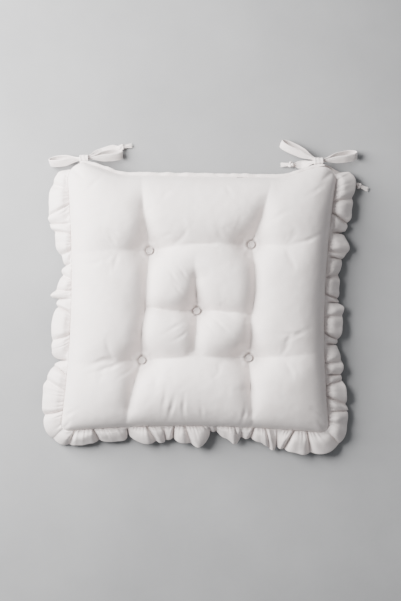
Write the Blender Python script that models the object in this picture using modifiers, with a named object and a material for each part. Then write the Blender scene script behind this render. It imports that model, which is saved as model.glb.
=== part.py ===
"""A tufted chair seat pad with a gathered ruffle on three sides and two ties, each in a bow.

Metres, +Z up, +Y towards the chair's back. The origin is on the surface that the pad lies on,
under the middle of the pad with its ruffle. Everything is placed from the pad's own middle,
and place() then moves it by PAD_SHIFT.
"""

from math import cos, hypot, pi, radians, sin, sqrt

import bmesh
import bpy
from mathutils import Vector

# Pad: two covers sewn together round a filling.
HALF = 0.192  # half of the sewn size, seam to seam
CORNER_R = 0.012  # of the sewn outline
SEAM_Z = 0.024  # height of the side seam
CROWN_Z = 0.066  # highest the top cover gets
TOP_FALL = 0.070  # how far in from the seam the top is still rising
BOTTOM_FALL = 0.035  # how far in from the seam the underside leaves the flat
WALL = 0.0012  # cover cloth with its seam allowance
SEAM_GAP = 1.8 * WALL  # between the covers' edges, where the ruffle is sewn in
FILL_GAP = 0.0004  # between a cover and the filling
FIT = 0.0003  # between pieces that touch

# Tufts: a covered button on top, a flat button below, and twine through both.
TUFT_PITCH = 0.080  # from the pad's middle to each outer place of an even layout, in X and in Y
# How far each tuft is sewn off its place in that layout, in X and in Y.
TUFT_DRIFT = {
    "back_left": (0.0075, -0.0090),
    "back_right": (-0.0030, 0.0000),
    "front_left": (-0.0035, -0.0100),
    "front_right": (-0.0065, -0.0065),
    "centre": (-0.0030, -0.0175),
}
DRIFT_SPREAD = 0.068  # how far beyond a tuft's patch the cover is drawn along with it
TUFT_SEAT = 0.008  # half the side of the flat patch under a button
TUFT_TOP_Z = 0.030  # the top cover's height under a button
TUFT_BASE_Z = 0.006  # the underside's height over a base button
TOP_DIP = 0.050  # how far the top's dimple spreads beyond the patch
BASE_DIP = 0.014  # the same on the underside

BUTTON_R = 0.0055
BUTTON_HEIGHT = 0.0039  # of the covered button's rim and dome
BUTTON_RIM = 0.0009  # height of the straight part of its side
SKIN = 0.0004  # the button's cloth
SKIN_TUCK = 0.0016  # how far the cloth is tucked up inside the shell
SHELL = 0.0005  # the button's metal shell
PLATE = 0.0008  # thickness of the button's back
SHANK_WIRE_R = 0.00045
SHANK_HALF = 0.0015  # from the middle to each leg
SHANK_DROP = 0.0031  # from the back plate to the middle of the wire's bend
TWINE_R = 0.0005
TWINE_HALF = 0.0013  # from the middle to each leg
TWINE_KNOT_R = 0.0009
BASE_BUTTON_R = 0.0055
BASE_BUTTON_THICK = 0.0020
BASE_HOLE_R = 0.0009
TOP_HOLE_R = 0.0029  # lets the shank down into the top cover and the filling
BOTTOM_HOLE_R = 0.0022  # lets both strands of twine through the lower cover

# Ruffle: a folded strip, gathered along the side and front seams.
RUFFLE_REACH = 0.034  # from the seam outwards
RUFFLE_THICK = 0.0024  # two layers of cloth
RUFFLE_LOW = 0.0055  # height of the outer edge at the bottom of a wave
RUFFLE_WAVE = 0.0075  # half of the wave's height at the outer edge
SIDE_WAVES = 8  # along a straight side
CORNER_WAVES = 2  # round a corner
WAVE_STEPS = 6
REACH_STEPS = 3
RUFFLE_BACK = 0.004  # the side strips stop this far short of the back seam
JOIN_WAVES = 0.03  # share of a wave left between two strips

# Ties: flat strips tied in a bow behind each back corner.
TIE_WIDTH = 0.013
TIE_THICK = 0.0016
KNOT_SIZE = (0.014, 0.011, 0.012)
KNOT_BEVEL = 0.0022
LOOP_OPEN = 0.0055  # half of the gap between a loop's two runs
LOOP_LEAN = radians(60)  # of a loop's width away from upright, towards the back
LOOP_STEPS = 20
ROOT_WIDTH = 0.45  # share of the width that is left where a strip leaves the knot
ROOT_LENGTH = 0.012  # how far out it takes to spread to its full width
END_KNOT_R = 0.0046
STUB_LENGTH = 0.0125

# Where each bow's knot is: in from the side seam, out from the back seam, and below the seam.
KNOT_IN = {"left": 0.022, "right": 0.015}
KNOT_OUT = {"left": 0.016, "right": 0.012}
KNOT_DROP = 0.005
# Each loop's far end, from its knot in X and Y, and its height over the ground.
LOOP_ENDS = {
    ("left", "outer"): (-0.0520, -0.0045, 0.0072),
    ("left", "inner"): (0.0560, 0.0075, 0.0072),
    ("right", "inner"): (-0.0550, 0.0280, 0.0072),
    ("right", "outer"): (0.0580, 0.0105, 0.0072),
}
# Each tail's route, given the same way: out of the knot, down, and along the ground to its end knot.
TAIL_ROUTES = {
    ("left", "inner"): (
        (0.0110, 0.0045, 0.0135),
        (0.0165, 0.0075, 0.0078),
        (0.0240, 0.0105, 0.0030),
        (0.0330, 0.0135, 0.0012),
        (0.0435, 0.0165, 0.0014),
        (0.0550, 0.0185, 0.0052),
    ),
    ("left", "outer"): (
        (-0.0050, -0.0065, 0.0110),
        (-0.0090, -0.0115, 0.0058),
        (-0.0155, -0.0175, 0.0020),
        (-0.0240, -0.0260, 0.0012),
        (-0.0300, -0.0370, 0.0014),
        (-0.0330, -0.0510, 0.0052),
    ),
    ("right", "inner"): (
        (-0.0115, -0.0020, 0.0145),
        (-0.0160, -0.0030, 0.0088),
        (-0.0210, -0.0035, 0.0040),
        (-0.0270, -0.0037, 0.0014),
        (-0.0320, -0.0037, 0.0016),
        (-0.0400, -0.0037, 0.0052),
    ),
    ("right", "outer"): (
        (0.0065, -0.0055, 0.0105),
        (0.0120, -0.0095, 0.0058),
        (0.0195, -0.0145, 0.0020),
        (0.0310, -0.0210, 0.0012),
        (0.0450, -0.0285, 0.0014),
        (0.0610, -0.0350, 0.0052),
    ),
}
TAIL_STEPS = 12

ROOT_GAP = RUFFLE_THICK / 2 + FIT  # from the seam to the ruffle's gathered edge
PAD_SHIFT = Vector((0, (ROOT_GAP + RUFFLE_REACH) / 2, 0))
EVEN_TUFTS = {
    "back_left": (-TUFT_PITCH, TUFT_PITCH),
    "back_right": (TUFT_PITCH, TUFT_PITCH),
    "front_left": (-TUFT_PITCH, -TUFT_PITCH),
    "front_right": (TUFT_PITCH, -TUFT_PITCH),
    "centre": (0.0, 0.0),
}
TUFTS = {
    name: (x + TUFT_DRIFT[name][0], y + TUFT_DRIFT[name][1]) for name, (x, y) in EVEN_TUFTS.items()
}


def clear_scene():
    for obj in list(bpy.data.objects):
        bpy.data.objects.remove(obj, do_unlink=True)


def new_collection(name):
    collection = bpy.data.collections.new(name)
    bpy.context.scene.collection.children.link(collection)
    return collection


def new_material(name, colour, roughness, metallic=0.0):
    material = bpy.data.materials.new(name)
    material.use_nodes = True
    shader = material.node_tree.nodes["Principled BSDF"]
    shader.inputs["Base Color"].default_value = (*colour, 1.0)
    shader.inputs["Roughness"].default_value = roughness
    shader.inputs["Metallic"].default_value = metallic
    return material


clear_scene()
PARTS = new_collection("chair_seat_pad")
CUTTERS = new_collection("cutters")
CUTTERS.hide_render = True
CLOTH = ((0.80, 0.78, 0.76), 0.85)
FIBRE = ((0.93, 0.93, 0.92), 0.95)
TWINE = ((0.84, 0.82, 0.78), 0.80)
RESIN = ((0.86, 0.85, 0.82), 0.40)
STEEL = ((0.72, 0.72, 0.72), 0.30, 1.0)


def place(obj):
    """Moves an object that was made round the pad's middle into the part's own frame."""
    obj.location = Vector(obj.location) + PAD_SHIFT
    return obj


def add_part(name, mesh, finish, smooth=True):
    """A new object in the parts' collection, with a material of its own."""
    obj = bpy.data.objects.new(name, mesh)
    PARTS.objects.link(obj)
    mesh.materials.clear()
    mesh.materials.append(new_material(name, *finish))
    if smooth:
        mesh.shade_smooth()
    return place(obj)


def add_cutter(name, mesh):
    obj = bpy.data.objects.new(name, mesh)
    CUTTERS.objects.link(obj)
    obj.hide_render = True
    obj.display_type = "WIRE"
    return place(obj)


def mesh_from(build, name):
    """The mesh that build() makes in an empty bmesh."""
    shape = bmesh.new()
    build(shape)
    mesh = bpy.data.meshes.new(name)
    shape.to_mesh(mesh)
    shape.free()
    return mesh


def boolean(obj, other, operation):
    modifier = obj.modifiers.new(other.name, "BOOLEAN")
    modifier.operation = operation
    modifier.solver = "EXACT"
    modifier.object = other


def solidify(obj, thickness, offset):
    modifier = obj.modifiers.new("thickness", "SOLIDIFY")
    modifier.thickness = thickness
    modifier.offset = offset
    modifier.use_even_offset = True


def screw(obj, steps):
    modifier = obj.modifiers.new("turn", "SCREW")
    modifier.steps = steps
    modifier.render_steps = steps
    modifier.use_merge_vertices = True
    modifier.merge_threshold = 0.00001
    modifier.use_smooth_shade = True


def wire_mesh(name, points, radius, cyclic):
    """The mesh of a round wire through these points, with its caps welded on."""
    curve = bpy.data.curves.new(name, "CURVE")
    curve.dimensions = "3D"
    curve.bevel_depth = radius
    curve.bevel_resolution = 2
    curve.use_fill_caps = not cyclic
    spline = curve.splines.new("POLY")
    spline.points.add(len(points) - 1)
    for target, point in zip(spline.points, points):
        target.co = (*point, 1.0)
    spline.use_cyclic_u = cyclic
    obj = bpy.data.objects.new(name, curve)
    bpy.context.scene.collection.objects.link(obj)
    graph = bpy.context.evaluated_depsgraph_get()
    mesh = bpy.data.meshes.new_from_object(obj.evaluated_get(graph))
    bpy.data.objects.remove(obj)
    shape = bmesh.new()
    shape.from_mesh(mesh)
    bmesh.ops.remove_doubles(shape, verts=shape.verts, dist=0.000001)
    shape.to_mesh(mesh)
    shape.free()
    return mesh


# ---- covers and filling ----


def cage_lines():
    """The covers' even grid lines: both sides of each tuft's patch, and closer towards the seam."""
    between = TUFT_PITCH - 2 * TUFT_SEAT
    start = TUFT_PITCH + TUFT_SEAT
    lines = [TUFT_SEAT + between * k / 3 for k in range(4)]
    lines += [start + (HALF - start) * sin(pi / 2 * k / 5) for k in range(6)]
    return [-line for line in reversed(lines)] + lines


def fade(away, spread):
    """1 at a tuft's patch, falling smoothly to 0 at spread beyond it."""
    share = min(max((away - TUFT_SEAT * sqrt(2)) / spread, 0), 1)
    return (1 + cos(pi * share)) / 2


def drawn(x, y):
    """The point of an evenly tufted cover, drawn along with the tufts near it."""
    moved = Vector((x, y))
    for name, (tx, ty) in EVEN_TUFTS.items():
        moved += Vector(TUFT_DRIFT[name]) * fade(hypot(x - tx, y - ty), DRIFT_SPREAD)
    return moved.x, moved.y


def round_corner(x, y):
    """The plan point, moved in where it lies in a corner of the square, so the corner is round."""
    middle = HALF - CORNER_R
    over_x = abs(x) - middle
    over_y = abs(y) - middle
    if min(over_x, over_y) <= 0:
        return x, y
    share = max(over_x, over_y) / hypot(over_x, over_y)
    near_x = middle + over_x * share
    near_y = middle + over_y * share
    return near_x * (1 if x > 0 else -1), near_y * (1 if y > 0 else -1)


def rise(x, y, fall):
    """0 at the seam and 1 from fall inwards, on a quarter ellipse."""
    share = 1.0
    for side in (x, y):
        left = 1 - min((HALF - abs(side)) / fall, 1)
        share *= sqrt(max(1 - left * left, 0))
    return share


def dip(x, y, spread):
    """1 on the nearest tuft's flat patch, falling to 0 at spread beyond it."""
    return fade(min(hypot(x - tx, y - ty) for tx, ty in TUFTS.values()), spread)


def top_height(x, y):
    low = SEAM_Z + SEAM_GAP / 2
    plain = low + (CROWN_Z - low) * rise(x, y, TOP_FALL)
    return plain + (TUFT_TOP_Z - plain) * dip(x, y, TOP_DIP)


def bottom_height(x, y):
    plain = (SEAM_Z - SEAM_GAP / 2) * (1 - rise(x, y, BOTTOM_FALL))
    return plain + (TUFT_BASE_Z - plain) * dip(x, y, BASE_DIP)


def pad_surface(shape, height, faces_up):
    """Adds one open side of the pad to shape, and returns its vertices."""
    lines = cage_lines()
    cells = len(lines) - 1
    made = bmesh.ops.create_grid(shape, x_segments=cells, y_segments=cells, size=1)
    verts = made["verts"]
    for vert in verts:
        x = lines[round((vert.co.x + 1) / 2 * cells)]
        y = lines[round((vert.co.y + 1) / 2 * cells)]
        x, y = drawn(x, y)
        vert.co = (*round_corner(x, y), height(x, y))
    faces = list({face for vert in verts for face in vert.link_faces})
    if not faces_up:
        bmesh.ops.reverse_faces(shape, faces=faces)
    bmesh.ops.triangulate(shape, faces=faces)
    shape.normal_update()
    return verts


def filling_half(shape, height, faces_up):
    """One side of the filling: the cover's surface, moved in, down to a rim at the seam."""
    verts = pad_surface(shape, height, faces_up)
    inside = WALL + FILL_GAP
    moved = {vert: vert.co - vert.normal * inside * vert.calc_shell_factor() for vert in verts}
    rim = 1 - 2 * inside / HALF
    for vert, place_now in moved.items():
        if vert.is_boundary:
            place_now = Vector((vert.co.x * rim, vert.co.y * rim, SEAM_Z))
        vert.co = place_now


def build_filling(shape):
    filling_half(shape, top_height, True)
    filling_half(shape, bottom_height, False)
    bmesh.ops.remove_doubles(shape, verts=shape.verts, dist=0.00002)


def build_holes(radius, low, high):
    """A builder of one upright round cutter through each tuft."""

    def build(shape):
        for x, y in TUFTS.values():
            made = bmesh.ops.create_cone(
                shape, cap_ends=True, segments=12, radius1=radius, radius2=radius, depth=high - low
            )
            bmesh.ops.translate(shape, verts=made["verts"], vec=(x, y, (low + high) / 2))

    return build


def make_pad():
    shank_holes = add_cutter(
        "shank_holes", mesh_from(build_holes(TOP_HOLE_R, -0.01, CROWN_Z), "shank_holes")
    )
    twine_holes = add_cutter(
        "twine_holes", mesh_from(build_holes(BOTTOM_HOLE_R, -0.01, SEAM_Z), "twine_holes")
    )
    for name, height, faces_up, holes in (
        ("cover_top", top_height, True, shank_holes),
        ("cover_bottom", bottom_height, False, twine_holes),
    ):
        mesh = mesh_from(lambda shape: pad_surface(shape, height, faces_up), name)
        cover = add_part(name, mesh, CLOTH)
        solidify(cover, WALL, -1)
        boolean(cover, holes, "DIFFERENCE")
    filling = add_part("fibre_filling", mesh_from(build_filling, "fibre_filling"), FIBRE)
    boolean(filling, shank_holes, "DIFFERENCE")


# ---- tufts ----


def dome(radius, low, high, steps=4):
    """Profile points of a quarter ellipse, from the axis at high out and down to low."""
    angles = [pi / 2 * (1 - k / steps) for k in range(steps + 1)]
    return [(radius * cos(a), low + (high - low) * sin(a)) for a in angles]


def turned(name, profile, base, finish, steps=14):
    """A closed body of revolution from (radius, height) points, standing at base."""
    mesh = bpy.data.meshes.new(name)
    edges = [(k, k + 1) for k in range(len(profile) - 1)]
    mesh.from_pydata([(r, 0, z) for r, z in profile], edges, [])
    obj = add_part(name, mesh, finish, smooth=False)
    obj.location = Vector(obj.location) + Vector(base)
    screw(obj, steps)
    return obj


def skin_profile():
    """The button's cloth: over the dome, round the rim and tucked up inside the shell."""
    low = FIT
    rim = low + BUTTON_RIM
    top = low + BUTTON_HEIGHT
    inner = BUTTON_R - SKIN
    tuck_out = inner - 2 * FIT - SHELL
    outside = dome(BUTTON_R, rim, top)
    outside += [(BUTTON_R - SKIN / 2, low + SKIN / 3), (BUTTON_R - SKIN, low)]
    fold = [(tuck_out - SKIN, low), (tuck_out - SKIN, low + SKIN_TUCK)]
    fold += [(tuck_out, low + SKIN_TUCK), (tuck_out, low + SKIN)]
    inside = [(inner, low + SKIN)] + dome(inner, rim, top - SKIN)[::-1]
    inside[-1] = (0.0, top - SKIN)
    outside[0] = (0.0, top)
    return outside + fold + inside


def shell_profile():
    """The button's metal shell: an open cup under the cloth."""
    low = FIT + SKIN + FIT
    rim = FIT + BUTTON_RIM
    top = FIT + BUTTON_HEIGHT - SKIN - FIT
    outer = BUTTON_R - SKIN - FIT
    outside = dome(outer, max(rim, low + FIT), top)
    inside = dome(outer - SHELL, max(rim, low + FIT), top - SHELL)[::-1]
    outside[0] = (0.0, top)
    inside[-1] = (0.0, top - SHELL)
    return outside + [(outer, low), (outer - SHELL, low)] + inside


def arc(centre, radius, start, end, steps):
    """Points on an arc in the plane of the first two coordinates, with angles in radians."""
    angles = [start + (end - start) * k / steps for k in range(steps + 1)]
    return [(centre[0] + radius * cos(a), centre[1] + radius * sin(a)) for a in angles]


def make_button_back(name, base):
    """The plate that closes the shell, with its wire shank below."""
    radius = BUTTON_R - 2 * SKIN - SHELL - 3 * FIT
    low = 3 * FIT

    def build(shape):
        bmesh.ops.create_cone(
            shape, cap_ends=True, segments=16, radius1=radius, radius2=radius, depth=PLATE
        )
        bmesh.ops.translate(shape, verts=shape.verts, vec=(0, 0, low + PLATE / 2))

    plate = add_part(name, mesh_from(build, name), STEEL)
    plate.location = Vector(plate.location) + Vector(base)
    bend_z = low - SHANK_DROP + SHANK_HALF
    inside_plate = low + PLATE / 2
    bend = arc((0, bend_z), SHANK_HALF, -pi, 0, 6)
    points = [(-SHANK_HALF, inside_plate)] + bend + [(SHANK_HALF, inside_plate)]
    wire = wire_mesh(name + "_wire", [(0, y, z) for y, z in points], SHANK_WIRE_R, False)
    shank = add_cutter(name + "_wire", wire)
    shank.location = plate.location
    boolean(plate, shank, "UNION")


def make_twine(name, x, y):
    """A loop of twine through the shank's eye and the base button's two holes."""
    top = TUFT_TOP_Z + 3 * FIT - SHANK_DROP / 2
    bottom = TUFT_BASE_Z - FIT - BASE_BUTTON_THICK - TWINE_R - 2 * FIT
    upper = arc((0, top - TWINE_HALF), TWINE_HALF, 0, pi, 6)
    lower = arc((0, bottom + TWINE_HALF), TWINE_HALF, pi, 2 * pi, 6)
    points = [(px, 0, pz) for px, pz in upper + lower]
    twine = add_part(name, wire_mesh(name, points, TWINE_R, True), TWINE)
    twine.location = Vector(twine.location) + Vector((x, y, 0))

    def build(shape):
        bmesh.ops.create_uvsphere(shape, u_segments=8, v_segments=6, radius=TWINE_KNOT_R)
        bmesh.ops.translate(shape, verts=shape.verts, vec=(0, 0, bottom - TWINE_R / 4))

    knot = add_cutter(name + "_knot", mesh_from(build, name + "_knot"))
    knot.location = twine.location
    boolean(twine, knot, "UNION")


def make_base_button(name, x, y):
    """The flat two-hole button that holds the twine on the underside."""
    high = TUFT_BASE_Z - FIT

    def build(shape):
        bmesh.ops.create_cone(
            shape,
            cap_ends=True,
            segments=20,
            radius1=BASE_BUTTON_R * 0.9,
            radius2=BASE_BUTTON_R,
            depth=BASE_BUTTON_THICK,
        )
        bmesh.ops.translate(shape, verts=shape.verts, vec=(0, 0, high - BASE_BUTTON_THICK / 2))

    def build_eyes(shape):
        for side in (-1, 1):
            made = bmesh.ops.create_cone(
                shape,
                cap_ends=True,
                segments=10,
                radius1=BASE_HOLE_R,
                radius2=BASE_HOLE_R,
                depth=3 * BASE_BUTTON_THICK,
            )
            bmesh.ops.translate(shape, verts=made["verts"], vec=(side * TWINE_HALF, 0, high))

    button = add_part(name, mesh_from(build, name), RESIN)
    button.location = Vector(button.location) + Vector((x, y, 0))
    eyes = add_cutter(name + "_eyes", mesh_from(build_eyes, name + "_eyes"))
    eyes.location = button.location
    boolean(button, eyes, "DIFFERENCE")


def make_tufts():
    for place_name, (x, y) in TUFTS.items():
        seat = (x, y, TUFT_TOP_Z)
        turned(f"button_skin_{place_name}", skin_profile(), seat, CLOTH)
        turned(f"button_shell_{place_name}", shell_profile(), seat, STEEL)
        make_button_back(f"button_back_{place_name}", seat)
        make_base_button(f"base_button_{place_name}", x, y)
        make_twine(f"tuft_twine_{place_name}", x, y)


# ---- ruffle ----


def ruffle_edge(waves):
    """Point on the ruffle's gathered edge, and its outward direction, so many waves from its left end."""
    middle = HALF - CORNER_R
    side_length = HALF - RUFFLE_BACK + middle
    out = HALF + ROOT_GAP
    corner_r = CORNER_R + ROOT_GAP
    if waves <= SIDE_WAVES:
        y = HALF - RUFFLE_BACK - side_length * waves / SIDE_WAVES
        return Vector((-out, y, SEAM_Z)), Vector((-1, 0, 0))
    waves -= SIDE_WAVES
    if waves <= CORNER_WAVES:
        angle = pi + pi / 2 * waves / CORNER_WAVES
        outward = Vector((cos(angle), sin(angle), 0))
        return Vector((-middle, -middle, SEAM_Z)) + outward * corner_r, outward
    waves -= CORNER_WAVES
    if waves <= SIDE_WAVES / 2:
        x = -middle + 2 * middle * waves / SIDE_WAVES
        return Vector((x, -out, SEAM_Z)), Vector((0, -1, 0))
    return None


def ruffle_frame(waves):
    """ruffle_edge() for the whole ruffle, whose right half mirrors its left half."""
    total = 3 * SIDE_WAVES + 2 * CORNER_WAVES
    if waves <= total / 2:
        return ruffle_edge(waves)
    point, outward = ruffle_edge(total - waves)
    return Vector((-point.x, point.y, point.z)), Vector((-outward.x, outward.y, 0))


def build_ruffle(first, last):
    """A builder of the strip between two counts of waves, as an open wavy surface."""

    def build(shape):
        steps = round((last - first) * WAVE_STEPS)
        made = bmesh.ops.create_grid(shape, x_segments=steps, y_segments=REACH_STEPS, size=1)
        for vert in made["verts"]:
            waves = first + (last - first) * (vert.co.x + 1) / 2
            share = (vert.co.y + 1) / 2
            point, outward = ruffle_frame(waves)
            edge_z = RUFFLE_LOW + RUFFLE_WAVE * (1 - cos(2 * pi * waves))
            point = point + outward * RUFFLE_REACH * share
            point.z += (edge_z - SEAM_Z) * share
            vert.co = point
        shape.normal_update()

    return build


def make_ruffle():
    side = SIDE_WAVES + CORNER_WAVES / 2
    total = 3 * SIDE_WAVES + 2 * CORNER_WAVES
    for name, first, last in (
        ("ruffle_left", 0, side - JOIN_WAVES),
        ("ruffle_front", side + JOIN_WAVES, total - side - JOIN_WAVES),
        ("ruffle_right", total - side + JOIN_WAVES, total),
    ):
        strip = add_part(name, mesh_from(build_ruffle(first, last), name), CLOTH)
        solidify(strip, RUFFLE_THICK, 0)


# ---- ties ----


def knot_place(side):
    """The middle of a bow's knot, behind its end of the back seam."""
    across = -1 if side == "left" else 1
    return Vector((across * (HALF - KNOT_IN[side]), HALF + KNOT_OUT[side], SEAM_Z - KNOT_DROP))


def from_knot(side, offset):
    """The point so far from a bow's knot in X and Y, at its own height over the ground."""
    knot = knot_place(side)
    return Vector((knot.x + offset[0], knot.y + offset[1], offset[2]))


def smooth_route(points, steps):
    """Points evenly through a Catmull-Rom curve on these."""
    ends = [2 * points[0] - points[1]] + list(points) + [2 * points[-1] - points[-2]]
    result = []
    for k in range(steps + 1):
        along = k / steps * (len(points) - 1)
        i = min(int(along), len(points) - 2)
        t = along - i
        a, b, c, d = ends[i : i + 4]
        result.append(
            (
                2 * b
                + (c - a) * t
                + (2 * a - 5 * b + 4 * c - d) * t * t
                + (3 * b - a - 3 * c + d) * t**3
            )
            / 2
        )
    return result


def strip_width(length_out):
    """The strip's width so far out of its knot, where it is still bunched up."""
    share = min(length_out / ROOT_LENGTH, 1)
    return TIE_WIDTH * (ROOT_WIDTH + (1 - ROOT_WIDTH) * share)


def build_strip(rungs, closed):
    """A builder of an open surface between (left edge, right edge) pairs of points."""

    def build(shape):
        verts = [[shape.verts.new(point) for point in rung] for rung in rungs]
        pairs = list(zip(verts, verts[1:]))
        if closed:
            pairs.append((verts[-1], verts[0]))
        for (a, b), (c, d) in pairs:
            shape.faces.new((a, b, d, c))
        shape.normal_update()

    return build


def knot_clear():
    """How far from its knot's middle a strip starts, so that it can swing round the knot."""
    return hypot(KNOT_SIZE[0], KNOT_SIZE[2]) / 2 + 3 * FIT


def loop_rungs(side, which):
    """Rungs round a closed loop, which leans over so that its width faces up."""
    knot = knot_place(side)
    reach = from_knot(side, LOOP_ENDS[side, which]) - knot
    along = reach.normalized()
    upright = (Vector((0, 0, 1)) - along * along.z).normalized()
    back = along.cross(upright) if along.x < 0 else upright.cross(along)
    across = upright * cos(LOOP_LEAN) + back * sin(LOOP_LEAN)
    lateral = along.cross(across)
    start = knot_clear() + TIE_THICK / 2
    length = reach.length - start
    rungs = []
    for k in range(LOOP_STEPS):
        angle = 2 * pi * k / LOOP_STEPS
        share = (1 - cos(angle)) / 2
        opening = LOOP_OPEN * sin(angle) * (0.3 + 0.7 * share)
        middle = knot + along * (start + length * share) + lateral * opening
        half = across * strip_width(length * share) / 2
        rungs.append((middle - half, middle + half))
    return rungs


def tail_rungs(side, which):
    """Rungs along a tail, lying flat, that stop just short of its end knot."""
    route = [from_knot(side, offset) for offset in TAIL_ROUTES[side, which]]
    route[-1] = route[-1] - (route[-1] - route[-2]).normalized() * (END_KNOT_R + 3 * FIT)
    points = smooth_route(route, TAIL_STEPS)
    rungs = []
    out = 0.0
    for k, point in enumerate(points):
        before = points[max(k - 1, 0)]
        after = points[min(k + 1, TAIL_STEPS)]
        out += (point - before).length
        level = Vector((after.y - before.y, before.x - after.x, 0)).normalized()
        half = level * strip_width(out) / 2
        rungs.append((point - half, point + half))
    return rungs


def make_end_knot(name, side, which):
    """The knot in a tail's end, with the short flared stub that is left beyond it."""
    route = [from_knot(side, offset) for offset in TAIL_ROUTES[side, which]]
    heading = route[-1] - route[-2]
    heading.z = 0
    turn = Vector((0, 0, 1)).rotation_difference(heading)

    def build_knot(shape):
        bmesh.ops.create_uvsphere(shape, u_segments=12, v_segments=8, radius=END_KNOT_R)
        bmesh.ops.scale(shape, verts=shape.verts, vec=(1, 1, 0.95))

    def build_stub(shape):
        bmesh.ops.create_cone(
            shape, cap_ends=True, segments=10, radius1=0.0018, radius2=0.0032, depth=STUB_LENGTH
        )
        bmesh.ops.translate(shape, verts=shape.verts, vec=(0, 0, END_KNOT_R / 2 + STUB_LENGTH / 2))

    knot = add_part(name, mesh_from(build_knot, name), CLOTH)
    stub = add_cutter(name + "_stub", mesh_from(build_stub, name + "_stub"))
    for obj in (knot, stub):
        obj.rotation_mode = "QUATERNION"
        obj.rotation_quaternion = turn
        obj.location = route[-1] + PAD_SHIFT
    boolean(knot, stub, "UNION")


def make_strip(name, rungs, closed, thickness=TIE_THICK, axis=None):
    """A tie's strip. One that swings has its origin on axis."""
    origin = Vector(axis) if axis else Vector((0, 0, 0))
    moved = [(a - origin, b - origin) for a, b in rungs]
    strip = add_part(name, mesh_from(build_strip(moved, closed), name), CLOTH)
    strip.location = origin + PAD_SHIFT
    solidify(strip, thickness, 0)


def make_bow(side):
    """One tie: a stem out of the back seam, a knot, two loops, and two tails with knotted ends."""
    knot = knot_place(side)

    def build_knot(shape):
        bmesh.ops.create_cube(shape, size=1)
        bmesh.ops.scale(shape, verts=shape.verts, vec=KNOT_SIZE)
        bmesh.ops.bevel(
            shape, geom=list(shape.edges), offset=KNOT_BEVEL, segments=2, affect="EDGES"
        )

    wrap = add_part(f"bow_{side}_knot", mesh_from(build_knot, "knot"), CLOTH)
    wrap.location = knot + PAD_SHIFT
    half = Vector((TIE_WIDTH / 2, 0, 0))
    seam = Vector((knot.x, HALF + FIT, SEAM_Z - TIE_THICK / 2))
    front = Vector((knot.x, knot.y - KNOT_SIZE[1] / 2 - FIT, seam.z))
    rungs = [(point + half, point - half) for point in (seam, (seam + front) / 2, front)]
    make_strip(f"bow_{side}_stem", rungs, False, thickness=2 * TIE_THICK)
    for which in ("outer", "inner"):
        make_strip(f"bow_{side}_{which}_loop", loop_rungs(side, which), True, axis=knot)
        axis = knot if which == "inner" else None
        make_strip(f"bow_{side}_{which}_tail", tail_rungs(side, which), False, axis=axis)
        make_end_knot(f"bow_{side}_{which}_end_knot", side, which)


make_pad()
make_tufts()
make_ruffle()
for bow_side in KNOT_IN:
    make_bow(bow_side)
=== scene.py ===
import bisect
import math
import random

import bmesh
import bpy
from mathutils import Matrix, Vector, noise


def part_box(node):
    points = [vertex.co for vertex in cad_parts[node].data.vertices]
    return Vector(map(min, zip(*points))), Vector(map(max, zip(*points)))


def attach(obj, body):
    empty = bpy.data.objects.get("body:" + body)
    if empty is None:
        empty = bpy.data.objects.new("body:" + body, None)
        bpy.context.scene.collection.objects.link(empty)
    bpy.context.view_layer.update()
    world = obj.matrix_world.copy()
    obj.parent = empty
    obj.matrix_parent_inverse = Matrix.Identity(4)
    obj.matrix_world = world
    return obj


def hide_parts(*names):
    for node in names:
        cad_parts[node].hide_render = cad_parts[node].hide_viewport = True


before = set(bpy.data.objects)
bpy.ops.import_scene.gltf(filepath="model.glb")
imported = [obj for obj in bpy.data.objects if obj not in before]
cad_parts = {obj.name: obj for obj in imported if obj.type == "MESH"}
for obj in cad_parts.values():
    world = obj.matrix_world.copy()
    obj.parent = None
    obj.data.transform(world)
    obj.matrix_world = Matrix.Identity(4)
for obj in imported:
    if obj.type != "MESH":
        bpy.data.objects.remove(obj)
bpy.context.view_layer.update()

SCENE = bpy.context.scene
MM = 0.001

# ---- the pad's own sizes
# The pad is described from its own middle, and the whole model lies PAD_SHIFT behind that.
seam_low, seam_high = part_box("cover_top")
PAD_SHIFT = Vector((0, (seam_low.y + seam_high.y) / 2, 0))
CROWN_Z = seam_high.z
SEAM_Z = (seam_low.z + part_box("cover_bottom")[1].z) / 2


def at_pad(x, y, z=0.0):
    """A point given from the pad's middle, in metres, in the model's frame."""
    return Vector((x, y, z)) + PAD_SHIFT


def node_middle(node):
    low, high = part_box(node)
    return (low + high) / 2


TUFT_NAMES = ("back_left", "back_right", "front_left", "front_right", "centre")
TUFTS = {name: node_middle(f"button_skin_{name}") - PAD_SHIFT for name in TUFT_NAMES}
SEAT_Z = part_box("button_skin_centre")[0].z - 0.3 * MM


def tuft_distance(point):
    """The plan distance to the nearest tuft."""
    return min((point.xy - tuft.xy).length for tuft in TUFTS.values())


def link(obj):
    SCENE.collection.objects.link(obj)
    return obj


def mesh_object(name, points, faces):
    mesh = bpy.data.meshes.new(name)
    mesh.from_pydata([tuple(p) for p in points], [], faces)
    return link(bpy.data.objects.new(name, mesh))


def mesh_from(shape, name):
    """The bmesh as a mesh."""
    mesh = bpy.data.meshes.new(name)
    shape.to_mesh(mesh)
    shape.free()
    return mesh


def net(rows, columns, closed=False, flipped=False, first=0):
    """The faces between rows of points. Closed joins each row's ends, flipped turns them over."""
    faces = []
    for row in range(rows - 1):
        a = first + row * columns
        for k in range(columns if closed else columns - 1):
            n = (k + 1) % columns
            face = (a + k, a + n, a + columns + n, a + columns + k)
            faces.append((face[0], *face[:0:-1]) if flipped else face)
    return faces


def turns(count):
    """Angles an even step apart, once round."""
    return [2 * math.pi * k / count for k in range(count)]


def smoothed(obj):
    modifier = obj.modifiers.new("smooth", "SUBSURF")
    modifier.levels = modifier.render_levels = 1


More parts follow.
